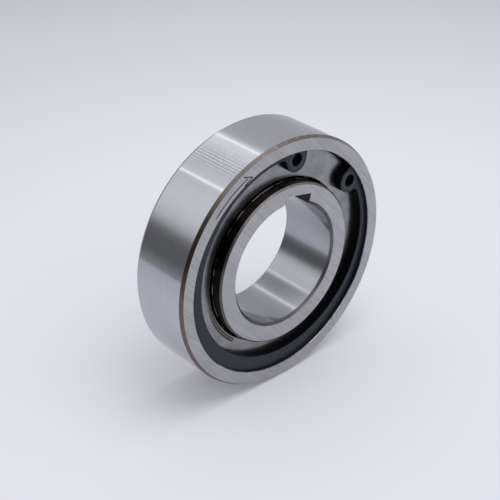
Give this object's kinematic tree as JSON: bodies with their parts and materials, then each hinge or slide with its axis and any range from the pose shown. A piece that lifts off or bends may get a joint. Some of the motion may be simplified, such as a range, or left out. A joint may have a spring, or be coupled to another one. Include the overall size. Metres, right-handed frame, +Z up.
{
  "type": "sprag clutch",
  "caption": "One-way sprag clutch of bearing size: keyed inner race and plain outer race with caged sprags between, closed on both sides by plates and circlips.",
  "frame": {"origin": "middle of the bore, half-way between the two faces", "axes": "Y is the clutch axis; the front face with the arrow looks towards -Y; +Z is up when the clutch stands on its rim"},
  "size_m": [0.062, 0.016, 0.062],
  "materials": {
    "ground_race_steel": "ground bearing steel",
    "lapped_plate_steel": "fine satin, half reflecting",
    "blackened_spring_steel": "hardened, tempered and oiled black",
    "sprag_steel": "tumbled bearing steel",
    "cage_steel": "pressed steel strip",
    "spring_wire": "drawn spring wire"
  },
  "bodies": {
    "outer_race": {"outer_race": "ground_race_steel", "front_side_plate": "lapped_plate_steel", "rear_side_plate": "lapped_plate_steel", "front_circlip": "blackened_spring_steel", "rear_circlip": "blackened_spring_steel"},
    "inner_race": {"inner_race": "ground_race_steel"},
    "cage": {"sprag_cage": "cage_steel", "front_garter_spring": "spring_wire", "rear_garter_spring": "spring_wire"},
    "sprag_01": {"sprag_01": "sprag_steel"},
    "sprag_02": {"sprag_02": "sprag_steel"},
    "sprag_03": {"sprag_03": "sprag_steel"},
    "sprag_04": {"sprag_04": "sprag_steel"},
    "sprag_05": {"sprag_05": "sprag_steel"},
    "sprag_06": {"sprag_06": "sprag_steel"},
    "sprag_07": {"sprag_07": "sprag_steel"},
    "sprag_08": {"sprag_08": "sprag_steel"},
    "sprag_09": {"sprag_09": "sprag_steel"},
    "sprag_10": {"sprag_10": "sprag_steel"},
    "sprag_11": {"sprag_11": "sprag_steel"},
    "sprag_12": {"sprag_12": "sprag_steel"},
    "sprag_13": {"sprag_13": "sprag_steel"},
    "sprag_14": {"sprag_14": "sprag_steel"},
    "sprag_15": {"sprag_15": "sprag_steel"},
    "sprag_16": {"sprag_16": "sprag_steel"},
    "sprag_17": {"sprag_17": "sprag_steel"},
    "sprag_18": {"sprag_18": "sprag_steel"}
  },
  "joints": [
    {"name": "inner_race_spin", "type": "hinge", "parent": "outer_race", "child": "inner_race", "pos_m": [0, 0, 0], "axis": [0, -1, 0], "continuous": true},
    {"name": "cage_spin", "type": "hinge", "parent": "outer_race", "child": "cage", "pos_m": [0, 0, 0], "axis": [0, -1, 0], "continuous": true},
    {"name": "sprag_01_tilt", "type": "hinge", "parent": "cage", "child": "sprag_01", "pos_m": [0.02294, 0, -0.00045], "axis": [0, -1, 0], "range_deg": [0, 6], "stiffness_Nm_per_rad": 0.005, "springref_deg": -11.46},
    {"name": "sprag_02_tilt", "type": "hinge", "parent": "cage", "child": "sprag_02", "pos_m": [0.02171, 0, 0.00742], "axis": [0, -1, 0], "range_deg": [0, 6]},
    {"name": "sprag_03_tilt", "type": "hinge", "parent": "cage", "child": "sprag_03", "pos_m": [0.01786, 0, 0.0144], "axis": [0, -1, 0], "range_deg": [0, 6]},
    {"name": "sprag_04_tilt", "type": "hinge", "parent": "cage", "child": "sprag_04", "pos_m": [0.01186, 0, 0.01964], "axis": [0, -1, 0], "range_deg": [0, 6]},
    {"name": "sprag_05_tilt", "type": "hinge", "parent": "cage", "child": "sprag_05", "pos_m": [0.00443, 0, 0.02251], "axis": [0, -1, 0], "range_deg": [0, 6]},
    {"name": "sprag_06_tilt", "type": "hinge", "parent": "cage", "child": "sprag_06", "pos_m": [-0.00354, 0, 0.02267], "axis": [0, -1, 0], "range_deg": [0, 6]},
    {"name": "sprag_07_tilt", "type": "hinge", "parent": "cage", "child": "sprag_07", "pos_m": [-0.01108, 0, 0.02009], "axis": [0, -1, 0], "range_deg": [0, 6]},
    {"name": "sprag_08_tilt", "type": "hinge", "parent": "cage", "child": "sprag_08", "pos_m": [-0.01728, 0, 0.01509], "axis": [0, -1, 0], "range_deg": [0, 6]},
    {"name": "sprag_09_tilt", "type": "hinge", "parent": "cage", "child": "sprag_09", "pos_m": [-0.0214, 0, 0.00827], "axis": [0, -1, 0], "range_deg": [0, 6]},
    {"name": "sprag_10_tilt", "type": "hinge", "parent": "cage", "child": "sprag_10", "pos_m": [-0.02294, 0, 0.00045], "axis": [0, -1, 0], "range_deg": [0, 6]},
    {"name": "sprag_11_tilt", "type": "hinge", "parent": "cage", "child": "sprag_11", "pos_m": [-0.02171, 0, -0.00742], "axis": [0, -1, 0], "range_deg": [0, 6]},
    {"name": "sprag_12_tilt", "type": "hinge", "parent": "cage", "child": "sprag_12", "pos_m": [-0.01786, 0, -0.0144], "axis": [0, -1, 0], "range_deg": [0, 6]},
    {"name": "sprag_13_tilt", "type": "hinge", "parent": "cage", "child": "sprag_13", "pos_m": [-0.01186, 0, -0.01964], "axis": [0, -1, 0], "range_deg": [0, 6]},
    {"name": "sprag_14_tilt", "type": "hinge", "parent": "cage", "child": "sprag_14", "pos_m": [-0.00443, 0, -0.02251], "axis": [0, -1, 0], "range_deg": [0, 6]},
    {"name": "sprag_15_tilt", "type": "hinge", "parent": "cage", "child": "sprag_15", "pos_m": [0.00354, 0, -0.02267], "axis": [0, -1, 0], "range_deg": [0, 6]},
    {"name": "sprag_16_tilt", "type": "hinge", "parent": "cage", "child": "sprag_16", "pos_m": [0.01108, 0, -0.02009], "axis": [0, -1, 0], "range_deg": [0, 6]},
    {"name": "sprag_17_tilt", "type": "hinge", "parent": "cage", "child": "sprag_17", "pos_m": [0.01728, 0, -0.01509], "axis": [0, -1, 0], "range_deg": [0, 6]},
    {"name": "sprag_18_tilt", "type": "hinge", "parent": "cage", "child": "sprag_18", "pos_m": [0.0214, 0, -0.00827], "axis": [0, -1, 0], "range_deg": [0, 6]}
  ],
  "couplings": [
    {"joint": "sprag_02_tilt", "follows": "sprag_01_tilt", "ratio": 1},
    {"joint": "sprag_03_tilt", "follows": "sprag_01_tilt", "ratio": 1},
    {"joint": "sprag_04_tilt", "follows": "sprag_01_tilt", "ratio": 1},
    {"joint": "sprag_05_tilt", "follows": "sprag_01_tilt", "ratio": 1},
    {"joint": "sprag_06_tilt", "follows": "sprag_01_tilt", "ratio": 1},
    {"joint": "sprag_07_tilt", "follows": "sprag_01_tilt", "ratio": 1},
    {"joint": "sprag_08_tilt", "follows": "sprag_01_tilt", "ratio": 1},
    {"joint": "sprag_09_tilt", "follows": "sprag_01_tilt", "ratio": 1},
    {"joint": "sprag_10_tilt", "follows": "sprag_01_tilt", "ratio": 1},
    {"joint": "sprag_11_tilt", "follows": "sprag_01_tilt", "ratio": 1},
    {"joint": "sprag_12_tilt", "follows": "sprag_01_tilt", "ratio": 1},
    {"joint": "sprag_13_tilt", "follows": "sprag_01_tilt", "ratio": 1},
    {"joint": "sprag_14_tilt", "follows": "sprag_01_tilt", "ratio": 1},
    {"joint": "sprag_15_tilt", "follows": "sprag_01_tilt", "ratio": 1},
    {"joint": "sprag_16_tilt", "follows": "sprag_01_tilt", "ratio": 1},
    {"joint": "sprag_17_tilt", "follows": "sprag_01_tilt", "ratio": 1},
    {"joint": "sprag_18_tilt", "follows": "sprag_01_tilt", "ratio": 1}
  ]
}
